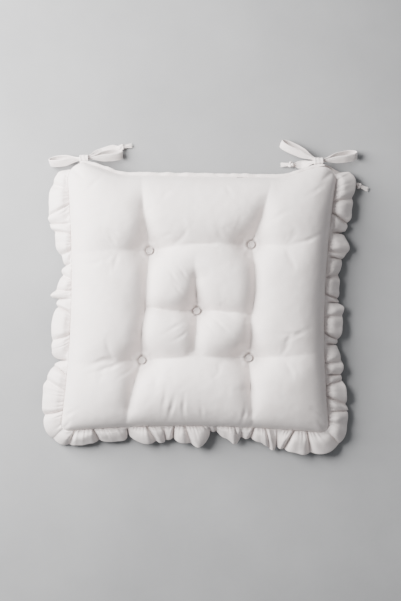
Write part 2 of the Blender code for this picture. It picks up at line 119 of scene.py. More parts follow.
def thickened(obj, thickness):
    """Gives a sheet its thickness, half of it on each side."""
    modifier = obj.modifiers.new("thick", "SOLIDIFY")
    modifier.thickness = thickness
    modifier.offset = 0


class Route:
    """A line of points, with places by distance along it and, in plan, outward directions."""

    def __init__(self, points):
        self.points = points
        self.far = [0.0]
        for a, b in zip(points, points[1:]):
            self.far.append(self.far[-1] + (b - a).length)
        self.length = self.far[-1]

    def at(self, distance):
        if distance < 0:
            return self.points[0] + (self.points[0] - self.points[40]).normalized() * -distance
        if distance > self.length:
            ahead = (self.points[-1] - self.points[-40]).normalized()
            return self.points[-1] + ahead * (distance - self.length)
        k = min(max(bisect.bisect_right(self.far, distance) - 1, 0), len(self.points) - 2)
        share = (distance - self.far[k]) / max(self.far[k + 1] - self.far[k], 1e-9)
        return self.points[k].lerp(self.points[k + 1], share)

    def outward(self, distance, reach=0.016):
        ahead = self.at(distance + reach) - self.at(distance - reach)
        ahead.normalize()
        return Vector((ahead.y, -ahead.x))


# ---- camera
CAMERA_HEIGHT = 2.0
VIEW_SPAN = 0.887  # what the picture's longer side takes in, at the seam's height
camera_data = bpy.data.cameras.new("camera")
camera_data.lens = camera_data.sensor_width * (CAMERA_HEIGHT - SEAM_Z) / VIEW_SPAN
camera = link(bpy.data.objects.new("camera", camera_data))
camera.location = at_pad(0.0022, -0.0022, CAMERA_HEIGHT)
SCENE.camera = camera


# ---- materials
def set_inputs(node, values):
    for name, value in values.items():
        node.inputs[name].default_value = value


def new_material(name, colour, roughness, metallic=0.0, sheen=0.0, coat=0.0):
    material = bpy.data.materials.new(name)
    material.use_nodes = True
    shader = material.node_tree.nodes["Principled BSDF"]
    set_inputs(shader, {"Base Color": (*colour, 1), "Roughness": roughness, "Metallic": metallic})
    set_inputs(shader, {"Sheen Weight": sheen, "Sheen Roughness": 0.5, "Coat Weight": coat})
    return material, shader


def add_node(material, kind, inputs=None, **settings):
    node = material.node_tree.nodes.new(kind)
    set_inputs(node, inputs or {})
    for key, value in settings.items():
        setattr(node, key, value)
    return node


def join(material, output, socket):
    material.node_tree.links.new(output, socket)


def object_place(material):
    return add_node(material, "ShaderNodeTexCoord").outputs["Object"]


def noise_at(material, source, scale, detail=3.0, roughness=0.55):
    inputs = {"Scale": scale, "Detail": detail, "Roughness": roughness}
    node = add_node(material, "ShaderNodeTexNoise", inputs)
    join(material, source, node.inputs["Vector"])
    return node.outputs["Fac"]


def ramp(material, value, low, high, dark, light):
    node = add_node(material, "ShaderNodeValToRGB")
    node.color_ramp.elements[0].position = low
    node.color_ramp.elements[0].color = (*dark, 1)
    node.color_ramp.elements[1].position = high
    node.color_ramp.elements[1].color = (*light, 1)
    join(material, value, node.inputs["Fac"])
    return node.outputs["Color"]


def math_node(material, operation, first, second):
    node = add_node(material, "ShaderNodeMath", operation=operation)
    for socket, value in zip(node.inputs, (first, second)):
        if isinstance(value, (int, float)):
            socket.default_value = value
        else:
            join(material, value, socket)
    return node.outputs["Value"]


def mixed(material, kind, share, first, second):
    node = add_node(material, "ShaderNodeMix", data_type="RGBA", blend_type=kind)
    node.inputs[0].default_value = share
    join(material, first, node.inputs[6])
    join(material, second, node.inputs[7])
    return node.outputs[2]


def weave_height(material, source, pitch):
    """Plain weave: two crossed sets of threads, each a little uneven."""
    sets = []
    uneven = {"Distortion": 0.6, "Detail": 1.0, "Detail Scale": 2.0}
    for direction in ("X", "Y"):
        wave = add_node(material, "ShaderNodeTexWave", uneven, bands_direction=direction)
        wave.inputs["Scale"].default_value = math.pi / (10 * pitch)
        join(material, source, wave.inputs["Vector"])
        sets.append(wave.outputs["Fac"])
    return math_node(material, "MULTIPLY", sets[0], sets[1])


def bumped(material, shader, height, strength, distance):
    bump = add_node(material, "ShaderNodeBump", {"Strength": strength, "Distance": distance})
    join(material, height, bump.inputs["Height"])
    join(material, bump.outputs["Normal"], shader.inputs["Normal"])


def rough_from(material, shader, value, least, spread):
    """Roughness from least upwards, by spread where value is 1."""
    rough = math_node(material, "MULTIPLY_ADD", value, spread)
    rough.node.inputs[2].default_value = least
    join(material, rough, shader.inputs["Roughness"])


def cotton(name, colour, pitch=0.0006, crease=0.25):
    """Off-white cotton: weave, slubs, faint mottling and fine creases."""
    material, shader = new_material(name, colour, 0.88, sheen=0.22)
    place = object_place(material)
    broad = noise_at(material, place, 22, 4.0, 0.6)
    darker = tuple(c * f for c, f in zip(colour, (0.955, 0.948, 0.940)))
    lighter = tuple(min(c * 1.025, 1) for c in colour)
    base = ramp(material, broad, 0.30, 0.70, darker, lighter)
    weave = weave_height(material, place, pitch)
    threads = ramp(material, weave, 0.0, 0.8, (0.93, 0.925, 0.92), (1, 1, 1))
    slub_map = add_node(material, "ShaderNodeMapping", {"Scale": (1, 14, 1)})
    join(material, place, slub_map.inputs["Vector"])
    slubs = noise_at(material, slub_map.outputs["Vector"], 120, 2.0)
    slub_colour = ramp(material, slubs, 0.42, 0.75, (1, 1, 1), (0.955, 0.95, 0.945))
    base = mixed(material, "MULTIPLY", 1.0, base, threads)
    base = mixed(material, "MULTIPLY", 0.8, base, slub_colour)
    join(material, base, shader.inputs["Base Color"])
    fuzz = noise_at(material, place, 900, 2.0)
    wrinkles = noise_at(material, place, 55, 5.0, 0.62)
    height = math_node(material, "MULTIPLY", weave, 0.35)
    for layer, share in ((fuzz, 0.25), (slubs, 0.15), (wrinkles, crease * 4)):
        height = math_node(material, "ADD", height, math_node(material, "MULTIPLY", layer, share))
    bumped(material, shader, height, 0.55, 0.0006)
    rough_from(material, shader, broad, 0.82, 0.10)
    return material


CLOTH = (0.820, 0.757, 0.742)
COVER = cotton("cover_cotton", CLOTH)
RUFFLE = cotton("ruffle_cotton", CLOTH, crease=0.5)
TIE = cotton("tie_cotton", CLOTH, pitch=0.0005, crease=0.35)
# The buttons' cloth is the cover's cotton made darker: painted shade for the dimples that the buttons sit
# sunk in.
BUTTON_CLOTH_PAINTED_SHADE = cotton("button_cotton_painted_shade", tuple(c * 0.70 for c in CLOTH), pitch=0.0005, crease=0.1)


def speckle(scale, detail=2.0):
    return lambda material, place: noise_at(material, place, scale, detail)


def twist(material, place):
    """The turned strands of a twine."""
    inputs = {"Scale": 420, "Distortion": 1.0}
    wave = add_node(material, "ShaderNodeTexWave", inputs, bands_direction="DIAGONAL")
    join(material, place, wave.inputs["Vector"])
    return wave.outputs["Fac"]


def finish(name, dark, light, pattern, bump, reach=(0.3, 0.7), rough=(0.5, 0.0), **shine):
    """A material that runs from dark to light with a pattern, which is also its relief."""
    material, shader = new_material(name, dark, rough[0], **shine)
    value = pattern(material, object_place(material))
    join(material, ramp(material, value, *reach, dark, light), shader.inputs["Base Color"])
    bumped(material, shader, value, *bump)
    if rough[1]:
        rough_from(material, shader, value, *rough)
    return material


THREAD = finish(
    "sewing_thread", (0.70, 0.68, 0.65), (0.86, 0.84, 0.82), speckle(1800), (0.4, 0.0002),
    rough=(0.6, 0), sheen=0.2,
)
TWINE = finish(
    "waxed_twine", (0.70, 0.67, 0.61), (0.88, 0.86, 0.82), twist, (0.6, 0.0002), (0.1, 0.9),
    rough=(0.55, 0), sheen=0.1,
)
RESIN = finish(
    "button_resin", (0.83, 0.815, 0.78), (0.89, 0.88, 0.855), speckle(260, 3.0), (0.12, 0.0001),
    (0.35, 0.7), rough=(0.32, 0), coat=0.25,
)
STEEL = finish(
    "pressed_steel", (0.66, 0.66, 0.66), (0.76, 0.76, 0.76), speckle(1500), (0.1, 0.00005),
    rough=(0.2, 0.25), metallic=1.0,
)


def dress(obj, material):
    obj.data.materials.clear()
    obj.data.materials.append(material)
    return obj


SHOWN_NODES = {"button_shell": STEEL, "button_back_": STEEL, "base_button": RESIN, "tuft_twine": TWINE}
for node_name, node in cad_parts.items():
    for start, material in SHOWN_NODES.items():
        if node_name.startswith(start):
            dress(node, material)
            node.data.shade_smooth()
            node.data.set_sharp_from_angle(angle=math.radians(35))


# ---- ties
TIE_WIDTH = 0.0125
TIE_THICK = 0.0013
LOOP_OPEN = 0.010082
LOOP_LEAN = math.radians(55)
LOOP_START = 0.0035  # how far from the knot's middle a loop starts
LOOP_PINCH, TAIL_PINCH = 0.024, 0.020  # how far from the knot a strip is drawn narrow
END_KNOT_R = 0.0046
STUB_END = 0.0145
TAIL_LEAST_Z = 0.0023
STITCH_LIFT = TIE_THICK / 2 + 0.0001
# Each loop's far end and each tail's route: from the knot in X and Y, with the height. The tails'
# routes are the CAD model's own.
LOOP_ENDS = {
    ("left", "outer"): (-0.0520, -0.0045, 0.0072),
    ("left", "inner"): (0.0560, 0.0075, 0.0072),
    ("right", "inner"): (-0.0550, 0.0280, 0.0072),
    ("right", "outer"): (0.0580, 0.0105, 0.0072),
}
TAIL_ROUTES = {
    ("left", "inner"): (
        (0.0110, 0.0045, 0.0135), (0.0165, 0.0075, 0.0078), (0.0240, 0.0105, 0.0030),
        (0.0330, 0.0135, 0.0012), (0.0435, 0.0165, 0.0014), (0.0550, 0.0185, 0.0052),
    ),
    ("left", "outer"): (
        (-0.0050, -0.0065, 0.0110), (-0.0090, -0.0115, 0.0058), (-0.0155, -0.0175, 0.0020),
        (-0.0240, -0.0260, 0.0012), (-0.0300, -0.0370, 0.0014), (-0.0330, -0.0510, 0.0052),
    ),
    ("right", "inner"): (
        (-0.0115, -0.0020, 0.0145), (-0.0160, -0.0030, 0.0088), (-0.0210, -0.0035, 0.0040),
        (-0.0270, -0.0037, 0.0014), (-0.0320, -0.0037, 0.0016), (-0.0400, -0.0037, 0.0052),
    ),
    ("right", "outer"): (
        (0.0065, -0.0055, 0.0105), (0.0120, -0.0095, 0.0058), (0.0195, -0.0145, 0.0020),
        (0.0310, -0.0210, 0.0012), (0.0450, -0.0285, 0.0014), (0.0610, -0.0350, 0.0052),
    ),
}


def catmull(points, t):
    """The point at t on a Catmull-Rom curve through these, t counting from 0 at the first."""
    i = min(int(t), len(points) - 2)
    t -= i
    a, b, c, d = points[max(i - 1, 0)], points[i], points[i + 1], points[min(i + 2, len(points) - 1)]
    return (
        2 * b + (c - a) * t + (2 * a - 5 * b + 4 * c - d) * t * t + (3 * b - a - 3 * c + d) * t**3
    ) / 2


def even_line(points, step):
    """Points an even step apart along a smooth curve through these."""
    fine = Route([catmull(points, (len(points) - 1) * k / 600) for k in range(601)])
    count = max(round(fine.length / step), 2)
    return [fine.at(fine.length * k / count) for k in range(count + 1)]


def line_length(points):
    return sum((b - a).length for a, b in zip(points, points[1:]))


def ribbon(name, rungs, seed, pleats):
    """A strip of folded cloth through (middle, half its width as a vector, up, pinch) rungs."""
    across = 8
    points = []
    for k, (middle, half, up, pinch) in enumerate(rungs):
        for c in range(across + 1):
            side = 2 * c / across - 1
            curl = 0.0007 * side * side * (1 - pinch)
            fold = pleats * pinch * math.cos(math.pi * 2 * side)
            wave = 0.0005 * noise.noise(Vector((k * 0.16, side * 1.3, seed)))
            points.append(middle + half * side + up * (wave - curl + fold))
    strip = mesh_object(name, points, net(len(rungs), across + 1))
    strip.data.shade_smooth()
    thickened(strip, TIE_THICK)
    smoothed(strip)
    return dress(strip, TIE)


def capsule(shape, a, b, radius, sides=6):
    """Adds one stitch: a short rounded bar from a to b."""
    along = (b - a).normalized()
    helper = Vector((0, 0, 1)) if abs(along.z) < 0.9 else Vector((1, 0, 0))
    u = along.cross(helper).normalized()
    v = along.cross(u)
    rings = []
    for place, size in ((a, 0.35), (a.lerp(b, 0.12), 0.9), (a.lerp(b, 0.88), 0.9), (b, 0.35)):
        ring = [u * math.cos(angle) + v * math.sin(angle) for angle in turns(sides)]
        rings.append([shape.verts.new(place + out * radius * size) for out in ring])
    for lower, upper in zip(rings, rings[1:]):
        for k in range(sides):
            n = (k + 1) % sides
            shape.faces.new((lower[k], lower[n], upper[n], upper[k]))
    shape.faces.new(rings[0][::-1])
    shape.faces.new(rings[-1])


def stitch_rows(name, rows, parent, length=0.0021, gap=0.0012, radius=0.00022):
    """Rows of stitches along lines of points, as one piece that goes with parent."""
    shape = bmesh.new()
    for row in rows:
        line = even_line(row, (length + gap) / 3)
        for k in range(0, len(line) - 3, 3):
            capsule(shape, line[k], line[k + 2], radius)
    bmesh.ops.recalc_face_normals(shape, faces=shape.faces)
    obj = link(bpy.data.objects.new(name, mesh_from(shape, name)))
    obj.data.shade_smooth()
    obj.parent = parent
    dress(obj, THREAD)
    return obj


def tie_point(side, offset):
    knot = node_middle(f"bow_{side}_knot")
    return Vector((knot.x + offset[0], knot.y + offset[1], offset[2]))


def stitched_sides(rungs, lift=STITCH_LIFT):
    """The lines of the two rows of stitches, just inside a strip's folded edges."""
    return [[p + half * side * 0.80 + up * lift for p, half, up, _ in rungs] for side in (1, -1)]


def pinch_at(away, spread):
    """1 where a strip is squeezed into a knot, 0 where it has its full width."""
    share = min(max(away / spread, 0), 1)
    return (1 + math.cos(math.pi * share)) / 2


def loop_strip(side, which):
    """A bow's loop: out from the knot and back, leaning over so that its inner face shows."""
    knot = node_middle(f"bow_{side}_knot")
    reach = tie_point(side, LOOP_ENDS[side, which]) - knot
    along = reach.normalized()
    upright = (Vector((0, 0, 1)) - along * along.z).normalized()
    back = along.cross(upright) if along.x < 0 else upright.cross(along)
    across = upright * math.cos(LOOP_LEAN) + back * math.sin(LOOP_LEAN)
    lateral = along.cross(across)
    length = reach.length - LOOP_START
    centre = []
    for angle in [*turns(64), 2 * math.pi]:
        share = (1 - math.cos(angle)) / 2
        opening = LOOP_OPEN * math.sin(angle) * share**0.75
        centre.append(knot + along * (LOOP_START + length * share) + lateral * opening)
    line = even_line(centre, 0.0016)
    total = len(line) - 1
    far = line_length(line)
    rungs, sewn = [], []
    for k, point in enumerate(line):
        ahead = line[min(k + 1, total)] - line[max(k - 1, 0)]
        out = min(k, total - k) / total * far
        pinch = pinch_at(out - 0.004, LOOP_PINCH)
        tilt = 0.10 * math.sin(2 * math.pi * k / total + (1.1 if side == "left" else 0.2))
        wide = (across + lateral * tilt).normalized()
        half = wide * TIE_WIDTH / 2 * (0.30 + 0.70 * (1 - pinch))
        rungs.append((point, half, ahead.cross(wide).normalized(), pinch))
        if out > 0.010:
            sewn.append(rungs[-1])
    return rungs, stitched_sides(sewn)


def tail_strip(side, which):
    """A tail: from inside the knot along its route, then the stub beyond its end knot."""
    knot = node_middle(f"bow_{side}_knot")
    route = [tie_point(side, offset) for offset in TAIL_ROUTES[side, which]]
    end_knot = route[-1]
    heading = (route[-1] - route[-2]) * Vector((1, 1, 0))
    heading.normalize()
    stub_mid = end_knot + heading * STUB_END * 0.55 + Vector((0, 0, -0.0012))
    stub_tip = end_knot + heading * STUB_END + Vector((0, 0, -0.0026))
    line = even_line([knot.lerp(route[0], 0.30), *route, stub_mid, stub_tip], 0.0014)
    far = line_length(line)
    to_knot = min(range(len(line)), key=lambda k: (line[k] - end_knot).length)
    rungs, sewn = [], []
    for k, point in enumerate(line):
        ahead = line[min(k + 1, len(line) - 1)] - line[max(k - 1, 0)]
        out = far * k / (len(line) - 1)
        past = (point - end_knot).length
        pinch = max(pinch_at(out - 0.004, TAIL_PINCH), pinch_at(past - 0.003, 0.012))
        width = TIE_WIDTH * (0.34 + 0.66 * (1 - pinch))
        point.z = max(point.z, TAIL_LEAST_Z)
        if k > to_knot:
            width = 0.0036 + 0.0034 * min(past / STUB_END, 1)
        wide = Vector((ahead.y, -ahead.x, 0)).normalized()
        wide.z = 0.10 * math.sin(out * 70 + (1 if side == "left" else 2.5)) * (1 - pinch)
        half = wide.normalized() * width / 2
        up = half.cross(ahead).normalized()
        up = up if up.z > 0 else -up
        rungs.append((point, half, up, pinch))
        if out > 0.010 and past > 0.010 and k < to_knot:
            sewn.append(rungs[-1])
    return rungs, stitched_sides(sewn), end_knot, heading, stub_tip


def make_strip(side, name, body, strips, nodes):
    """One free stretch of the tie as a ribbon of cloth with its stitches, made of these runs end to end."""
    rungs = [rung for strip in strips for rung in strip[0]]
    rows = [row for strip in strips for row in strip[1]]
    cloth = ribbon(f"bow_{side}_{name}_cloth", rungs, len(rungs) * 0.37, 0.0007)
    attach(cloth, body)
    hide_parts(*nodes)
    stitches = stitch_rows(f"bow_{side}_{name}_stitches", rows, cloth)


def make_end(side, which, body, end_knot, heading, stub_tip):
    """The overhand knot near a tail's end, and the threads of its cut end."""
    line = knot_line(end_knot, heading, END_KNOT_R - 0.0012)
    knot_piece = ring_tube(f"bow_{side}_{which}_overhand_knot", line, 0.0016, 1.15)
    smoothed(knot_piece)
    frayed = make_fray(f"bow_{side}_{which}_frayed_end", stub_tip, heading)
    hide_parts(f"bow_{side}_{which}_end_knot")
    for piece in (knot_piece, frayed):
        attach(piece, body)
    return [knot_piece, frayed]


def knot_line(centre, heading, size):
    """The closed line of an overhand knot that has been pulled tight."""
    side = Vector((-heading.y, heading.x, 0)).normalized()
    points = []
    for t in turns(72):
        a = math.sin(t) + 2 * math.sin(2 * t)
        b = math.cos(t) - 2 * math.cos(2 * t)
        c = -math.sin(3 * t)
        place = heading * a * 0.92 + side * b + Vector((0, 0, 1)) * c * 1.25
        points.append(centre + place * size / 3)
    return points


def ring_tube(name, line, radius, squash):
    """A soft tube on a closed line, flattened and uneven, as a rolled strip of cloth is."""
    sides = 10
    points = []
    count = len(line)
    for k, point in enumerate(line):
        ahead = (line[(k + 1) % count] - line[k - 1]).normalized()
        u = ahead.cross(Vector((0.3, 0.2, 1))).normalized()
        v = ahead.cross(u)
        for s, angle in enumerate(turns(sides)):
            bulge = 1 + 0.16 * noise.noise(Vector((k * 0.35, s * 0.9, 4.4)))
            spread = u * math.cos(angle) * squash + v * math.sin(angle)
            points.append(point + spread * radius * bulge)
    faces = [[p % len(points) for p in face] for face in net(count + 1, sides, closed=True)]
    obj = mesh_object(name, points, faces)
    obj.data.shade_smooth()
    return dress(obj, TIE)


def make_fray(name, tip, heading):
    """Loose threads at a cut end."""
    shape = bmesh.new()
    side = Vector((-heading.y, heading.x, 0))
    draws = random.Random(name)
    for k in range(16):
        place = tip + side * (k / 15 - 0.5) * 0.0062 + Vector((0, 0, draws.uniform(-0.4, 0.4) * MM))
        bend = heading * draws.uniform(0.6, 1.4) * MM + side * draws.uniform(-0.5, 0.5) * MM
        end = place + heading * draws.uniform(0.8, 1.8) * MM + side * draws.uniform(-0.8, 0.8) * MM
        capsule(shape, place - heading * 0.8 * MM, place + bend * 0.5, 0.00016, 5)
        capsule(shape, place + bend * 0.45, end, 0.00014, 5)
    bmesh.ops.recalc_face_normals(shape, faces=shape.faces)
    return dress(link(bpy.data.objects.new(name, mesh_from(shape, name))), THREAD)


def make_wrap(side):
    """The bow's knot: the tie wrapped round its own loops, with folds along the wrap."""
    low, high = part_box(f"bow_{side}_knot")
    centre, half = (low + high) / 2, (high - low) / 2
    around, along = 48, 18
    points = []
    for i in range(along + 1):
        x = 2 * i / along - 1
        edge = 1 - abs(x) ** 6
        for angle in turns(around):
            c, s = math.cos(angle), math.sin(angle)
            size = (abs(c) ** 3.2 + abs(s) ** 3.2) ** (-1 / 3.2)
            waist = 0.93 + 0.07 * x * x
            fold = 0.035 * math.cos(x * 7.5 + 0.8 * math.sin(angle * 2))
            fold += 0.05 * noise.noise(Vector((x * 2.2, c * 1.4, s * 1.4 + (0 if side == "left" else 5))))
            radius = size * (waist + fold) * (0.80 + 0.20 * max(edge, 0) ** 0.5)
            offset = Vector((x * half.x, c * half.y * radius * 0.97, s * half.z * radius * 0.95))
            points.append(centre + offset)
    faces = net(along + 1, around, closed=True)
    for i, inward in ((0, 1), (along, -1)):
        ring = [i * around + k for k in range(around)]
        middle = len(points)
        points.append(centre + Vector((-0.55 * inward * half.x, 0, 0)))
        for a, b in zip(ring, ring[1:] + ring[:1]):
            faces.append((a, middle, b) if inward > 0 else (b, middle, a))
    wrap = mesh_object(f"bow_{side}_wrap", points, faces)
    wrap.data.shade_smooth()
    smoothed(wrap)
    dress(wrap, TIE)
    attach(wrap, "pad")
    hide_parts(f"bow_{side}_knot")
    return wrap


def make_stem(side):
    """The tie between the back seam and its knot."""
    low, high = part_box(f"bow_{side}_stem")
    middle = (low + high) / 2
    rungs = []
    steps = 14
    for k in range(steps + 1):
        share = k / steps
        y = low.y - 0.006 + (high.y - low.y + 0.0075) * share
        sag = -0.0012 * math.sin(math.pi * share) - 0.0016 * share
        pinch = 0.55 * share**2
        point = Vector((middle.x, y, middle.z + sag))
        half = Vector((TIE_WIDTH / 2 * (1 - 0.30 * pinch), 0, 0))
        rungs.append((point, half, Vector((0, 0, 1)), pinch))
    stem = ribbon(f"bow_{side}_stem_cloth", rungs, 2.4, 0.0006)
    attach(stem, "pad")
    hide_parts(f"bow_{side}_stem")
    stitch_rows(f"bow_{side}_stem_stitches", stitched_sides(rungs[3:-2], 0.00085), stem)
    return stem


def make_bow(side):
    outer = f"bow_{side}_outer"
    inner = f"bow_{side}_inner"
    make_strip(side, "outer_loop", outer, [loop_strip(side, "outer")], [f"{outer}_loop"])
    tail = tail_strip(side, "outer")
    ends = make_end(side, "outer", "pad", *tail[2:])
    fixed = [*ends, make_wrap(side), make_stem(side)]
    make_strip(side, "outer_tail", "pad", [tail], [f"{outer}_tail"])
    tail = tail_strip(side, "inner")
    ends = make_end(side, "inner", inner, *tail[2:])
    strips = [loop_strip(side, "inner"), tail]
    make_strip(side, "inner_loop_and_tail", inner, strips, [f"{inner}_loop", f"{inner}_tail"])


for bow_side in ("left", "right"):
    make_bow(bow_side)


# ---- cushion
# The sewn outline's corners in plan, and how far each side is pulled in at its middle.
CORNERS = {
    "front_left": Vector((-0.2050, -0.1955)),
    "front_right": Vector((0.1930, -0.1985)),
    "back_left": Vector((-0.1960, 0.2015)),
    "back_right": Vector((0.2060, 0.1950)),
}
PULL = {"left": 0.0120, "right": 0.0135, "back": 0.0172, "front": 0.0095}
CORNER_ROUND = {"front_left": 0.07, "front_right": 0.08, "back_left": 0.14, "back_right": 0.12}
CELLS = 120


def rounded(u, v):
    """A point of the square -1..1, moved in where it lies in a corner, so the corner is round."""
    name = ("front" if v < 0 else "back") + "_" + ("left" if u < 0 else "right")
    size = CORNER_ROUND[name]
    over_u = abs(u) - (1 - size)
    over_v = abs(v) - (1 - size)
    if min(over_u, over_v) <= 0:
        return u, v
    share = max(over_u, over_v) / math.hypot(over_u, over_v)
    return (
        math.copysign(1 - size + over_u * share, u),
        math.copysign(1 - size + over_v * share, v),
    )


def back_pull(u):
    """How much of the back seam's full pull there is: all of it between the ties' corners."""
    share = min(max((abs(u) - 0.55) / 0.35, 0), 1)
    return 1 - share * share * (3 - 2 * share)


def in_plan(u, v):
    """Where the point (u, v) of the square -1..1 lies in the pad's plan."""
    u, v = rounded(u, v)
    s, t = (u + 1) / 2, (v + 1) / 2
    front = CORNERS["front_left"].lerp(CORNERS["front_right"], s)
    back = CORNERS["back_left"].lerp(CORNERS["back_right"], s)
    point = front.lerp(back, t)
    point.x += (PULL["left"] * (1 - s) - PULL["right"] * s) * (1 - v * v)
    point.y += PULL["front"] * (1 - t) * (1 - u * u) - PULL["back"] * t * back_pull(u)
    return point


T = {name: (TUFTS[name].x / MM, TUFTS[name].y / MM, 1.0) for name in TUFT_NAMES}
# Valleys between the tufts: plan points in millimetres with the share of the full depth there,
# then how wide the valley is.
VALLEYS = [
    ([(-84, 180, 0.1), (-81, 132, 0.4), (-76, 100, 0.65), T["back_left"]], 11),
    ([T["back_left"], (-76, 34, 0.66), (-79, -16, 0.6), (-84, -52, 0.68), T["front_left"]], 11),
    ([T["front_left"], (-94, -121, 0.66), (-103, -160, 0.42), (-106, -180, 0.2)], 11),
    ([(106, 172, 0.08), (92, 120, 0.52), T["back_right"]], 11),
    (
        [T["back_right"], (82, 50, 0.66), (83, 14, 0.56), (77, -26, 0.56), (77, -56, 0.68), T["front_right"]],
        11,
    ),
    ([T["front_right"], (76, -131, 0.62), (78, -168, 0.34), (79, -186, 0.15)], 11),
    ([(-187, 66, 0.1), (-124, 72, 0.22), T["back_left"]], 14.5),
    ([T["back_left"], (-19, 79, 0.36), (30, 81, 0.36), T["back_right"]], 14.5),
    ([T["back_right"], (129, 77, 0.24), (184, 92, 0.1)], 14.5),
    ([(-180, -95, 0.1), (-128, -91, 0.28), T["front_left"]], 14.5),
    ([T["front_left"], (-6, -84, 0.36), T["front_right"]], 14.5),
    ([T["front_right"], (129, -84, 0.26), (181, -78, 0.08)], 14.5),
    ([(-6, 52, 0.05), (-5, 30, 0.42), (-4, 7, 0.68), T["centre"]], 9),
    ([T["centre"], (-4, -45, 0.62), (-6, -75, 0.38)], 11),
    ([(-75, -12, 0.42), (-38, -17, 0.55), T["centre"]], 11),
    ([T["centre"], (31, -18, 0.5), (75, -22, 0.4)], 11),
]


def along_valley(x, y, points):
    """The distance in millimetres to a valley's line, and the depth share at the nearest point."""
    best = (1e9, 0.0)
    for a, b in zip(points, points[1:]):
        dx, dy = b[0] - a[0], b[1] - a[1]
        t = ((x - a[0]) * dx + (y - a[1]) * dy) / (dx * dx + dy * dy)
        t = min(max(t, 0.0), 1.0)
        away = math.hypot(x - a[0] - dx * t, y - a[1] - dy * t)
        if away < best[0]:
            t = t * t if b[2] > a[2] else 1 - (1 - t) ** 2
            best = (away, a[2] + (b[2] - a[2]) * t)
    return best


def valley_depth(x, y):
    """How far down towards the tufts' seats the cover is drawn at a plan point, 0 to 1."""
    left = 1.0
    for points, width in VALLEYS:
        away, share = along_valley(x / MM, y / MM, points)
        left *= 1 - share * math.exp(-((away / width) ** 1.25))
    return 1 - left


def swell(u, v, fall=0.42):
    """The crown's height share: 0 at the seam, 1 further in than fall, on a quarter ellipse."""
    share = 1.0
    for side in (u, v):
        left = 1 - min((1 - abs(side)) / fall, 1)
        share *= math.sqrt(max(1 - left * left, 0))
    return share


def top_height(u, v):
    x, y = in_plan(u, v)
    plain = SEAM_Z + (CROWN_Z - SEAM_Z) * swell(u, v) ** 0.9
    depth = valley_depth(x, y)
    return plain + (min(SEAT_Z, plain) - plain) * depth


def grid_points(height):
    points = []
    for j in range(CELLS + 1):
        for i in range(CELLS + 1):
            u, v = 2 * i / CELLS - 1, 2 * j / CELLS - 1
            x, y = in_plan(u, v)
            points.append(at_pad(x, y, height(u, v)))
    return points


GRID_FACES = net(CELLS + 1, CELLS + 1)
# The cloth is cut EXTRA_CLOTH times its flat size, and it is blown up from inside. The seam and a
# disc under each button are held fast, and a crease is held by its share of CREASE_HOLD.
EXTRA_CLOTH = 1.03
SIM_FRAMES = 30
PRESSURE = 40.0
CLOTH_MASS = 0.02
STIFFNESS = {"tension": 20.0, "compression": 10.0, "shear": 4.0}
DAMPING = 5
BENDING, BENDING_DAMPING = 0.08, 0.5
HELD_RADIUS = 0.006
CREASE_HOLD = 0.35
CREASE_FROM = 0.3  # the depth share from which a valley is held


def make_top():
    """The top cover, as a cloth simulation between its seam, its creases and its tufts."""
    points = grid_points(top_height)
    top = mesh_object("top_panel", points, GRID_FACES)
    top.shape_key_add(name="Basis")
    rest = top.shape_key_add(name="cut")
    pins = top.vertex_groups.new(name="pins")
    press = top.vertex_groups.new(name="press")
    for j in range(CELLS + 1):
        for i in range(CELLS + 1):
            u, v = 2 * i / CELLS - 1, 2 * j / CELLS - 1
            k = j * (CELLS + 1) + i
            place = points[k] - PAD_SHIFT
            rest.data[k].co = points[k] * EXTRA_CLOTH
            depth = valley_depth(place.x, place.y)
            if i in (0, CELLS) or j in (0, CELLS) or tuft_distance(place) < HELD_RADIUS:
                pins.add([k], 1.0, "REPLACE")
            elif depth > CREASE_FROM:
                pins.add([k], CREASE_HOLD * (depth - CREASE_FROM) / (1 - CREASE_FROM), "REPLACE")
            press.add([k], 1 - 0.8 * min(depth * 1.2, 1), "REPLACE")
    modifier = top.modifiers.new("cloth", "CLOTH")
    settings = modifier.settings
    settings.quality = 6
    settings.mass = CLOTH_MASS
    settings.air_damping = 2.0
    for kind, stiffness in STIFFNESS.items():
        setattr(settings, f"{kind}_stiffness", stiffness)
        setattr(settings, f"{kind}_damping", DAMPING)
    settings.bending_stiffness = BENDING
    settings.bending_damping = BENDING_DAMPING
    settings.vertex_group_mass = "pins"
    settings.pin_stiffness = 1.0
    settings.use_pressure = True
    settings.uniform_pressure_force = PRESSURE
    settings.vertex_group_pressure = "press"
    settings.effector_weights.gravity = 0
    settings.rest_shape_key = rest
    modifier.point_cache.frame_start = 1
    modifier.point_cache.frame_end = SIM_FRAMES
    for frame_number in range(1, SIM_FRAMES + 1):
        SCENE.frame_set(frame_number)
    graph = bpy.context.evaluated_depsgraph_get()
    moved = bpy.data.meshes.new_from_object(top.evaluated_get(graph))
    SCENE.frame_set(1)
    bpy.data.objects.remove(top)
    return link(bpy.data.objects.new("top_panel", moved))


BASE_SEAT_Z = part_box("base_button_centre")[1].z + 0.3 * MM
BOTTOM_LEAST_Z = 0.0006
DIMPLE_FLAT, DIMPLE_SLOPE = 0.008, 0.016  # a base button's flat seat, and the slope round it


def bottom_height(u, v):
    x, y = in_plan(u, v)
    plain = BOTTOM_LEAST_Z + (SEAM_Z - BOTTOM_LEAST_Z) * (1 - swell(u, v, 0.20) ** 1.1)
    away = tuft_distance(Vector((x, y)))
    lift = (1 + math.cos(math.pi * min(max((away - DIMPLE_FLAT) / DIMPLE_SLOPE, 0), 1))) / 2
    wrinkle = 0.0005 * noise.noise(Vector((x * 40, y * 40, 0.7)))
    return plain + (BASE_SEAT_Z - plain) * lift + abs(wrinkle) * (1 - lift)


